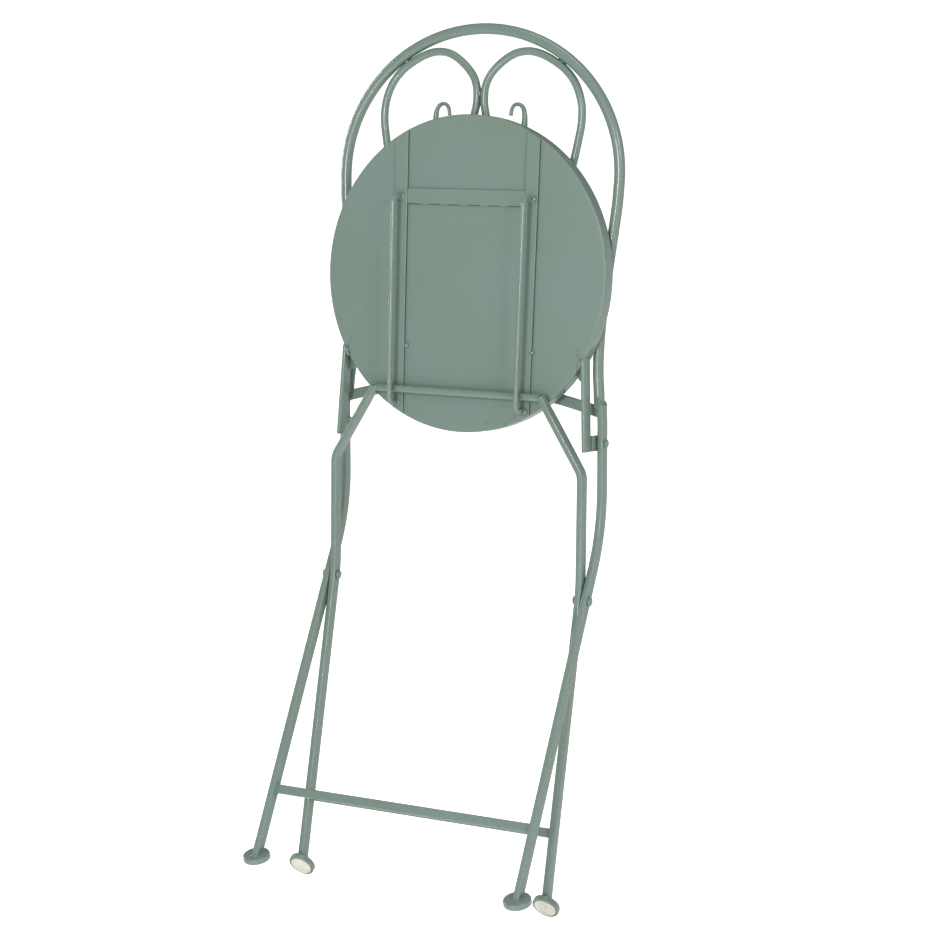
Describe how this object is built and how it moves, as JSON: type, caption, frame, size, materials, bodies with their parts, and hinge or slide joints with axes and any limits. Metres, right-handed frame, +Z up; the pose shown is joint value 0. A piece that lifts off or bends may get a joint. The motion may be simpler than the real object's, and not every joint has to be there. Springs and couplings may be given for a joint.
{
  "type": "folding bistro chair",
  "caption": "Painted metal folding chair with a round sheet seat, a scrolled tubular back hoop, crossed legs and plastic glides, shown folded flat; the seat and rear legs unfold together.",
  "frame": {"origin": "centre of the folded chair's bounding box in X and Y, at its lowest point in Z", "axes": "+Z up with the back held at the lean it has when the open chair stands on its glides, +X to the viewer's right when facing the front of the folded chair, +Y to the back; the chair is folded at rest"},
  "size_m": [0.3914, 0.5084, 0.9683],
  "materials": {
    "green_paint": "satin sage-green powder coat",
    "glide_plastic": "smooth off-white moulded plastic"
  },
  "bodies": {
    "back_frame": {"back_hoop": "green_paint", "scroll_right": "green_paint", "scroll_left": "green_paint", "front_leg_right": "green_paint", "front_leg_left": "green_paint", "back_crossbar": "green_paint", "front_stretcher": "green_paint", "front_foot_cup_right": "green_paint", "front_glide_right": "glide_plastic", "front_foot_cup_left": "green_paint", "front_glide_left": "glide_plastic", "cross_pivot_bolt_right": "green_paint", "cross_pivot_bolt_left": "green_paint", "cross_pivot_nut_right": "green_paint", "cross_pivot_nut_left": "green_paint", "seat_pivot_bolt_right": "green_paint", "seat_pivot_bolt_left": "green_paint", "seat_pivot_nut_right": "green_paint", "seat_pivot_nut_left": "green_paint"},
    "rear_legs": {"rear_leg_right": "green_paint", "rear_leg_left": "green_paint", "rear_stretcher": "green_paint", "rear_foot_cup_right": "green_paint", "rear_glide_right": "glide_plastic", "rear_foot_cup_left": "green_paint", "rear_glide_left": "glide_plastic"},
    "slide_bar": {"slide_bar": "green_paint"},
    "seat": {"seat_pan": "green_paint", "seat_underplate": "green_paint", "seat_strap_right": "green_paint", "seat_strap_left": "green_paint", "seat_cross_strap": "green_paint", "guide_rod_right": "green_paint", "guide_rod_left": "green_paint", "seat_bracket_right": "green_paint", "seat_bracket_left": "green_paint", "pivot_lug_right": "green_paint", "pivot_lug_left": "green_paint"}
  },
  "joints": [
    {"name": "seat_fold", "type": "hinge", "parent": "back_frame", "child": "seat", "pos_m": [0, 0.09054, 0.50165], "axis": [1, 0, 0], "range_deg": [0, 106]},
    {"name": "leg_fold", "type": "hinge", "parent": "back_frame", "child": "rear_legs", "pos_m": [0, 0.00498, 0.3352], "axis": [1, 0, 0], "range_deg": [0, 69.74]},
    {"name": "bar_slide", "type": "slide", "parent": "seat", "child": "slide_bar", "axis": [0, 0.3155, 0.9489], "range_m": [0, 0.2228]}
  ],
  "couplings": [
    {"joint": "leg_fold", "follows": "seat_fold", "ratio": 0.6579},
    {"joint": "bar_slide", "follows": "seat_fold", "m_per_rad": 0.12041}
  ]
}
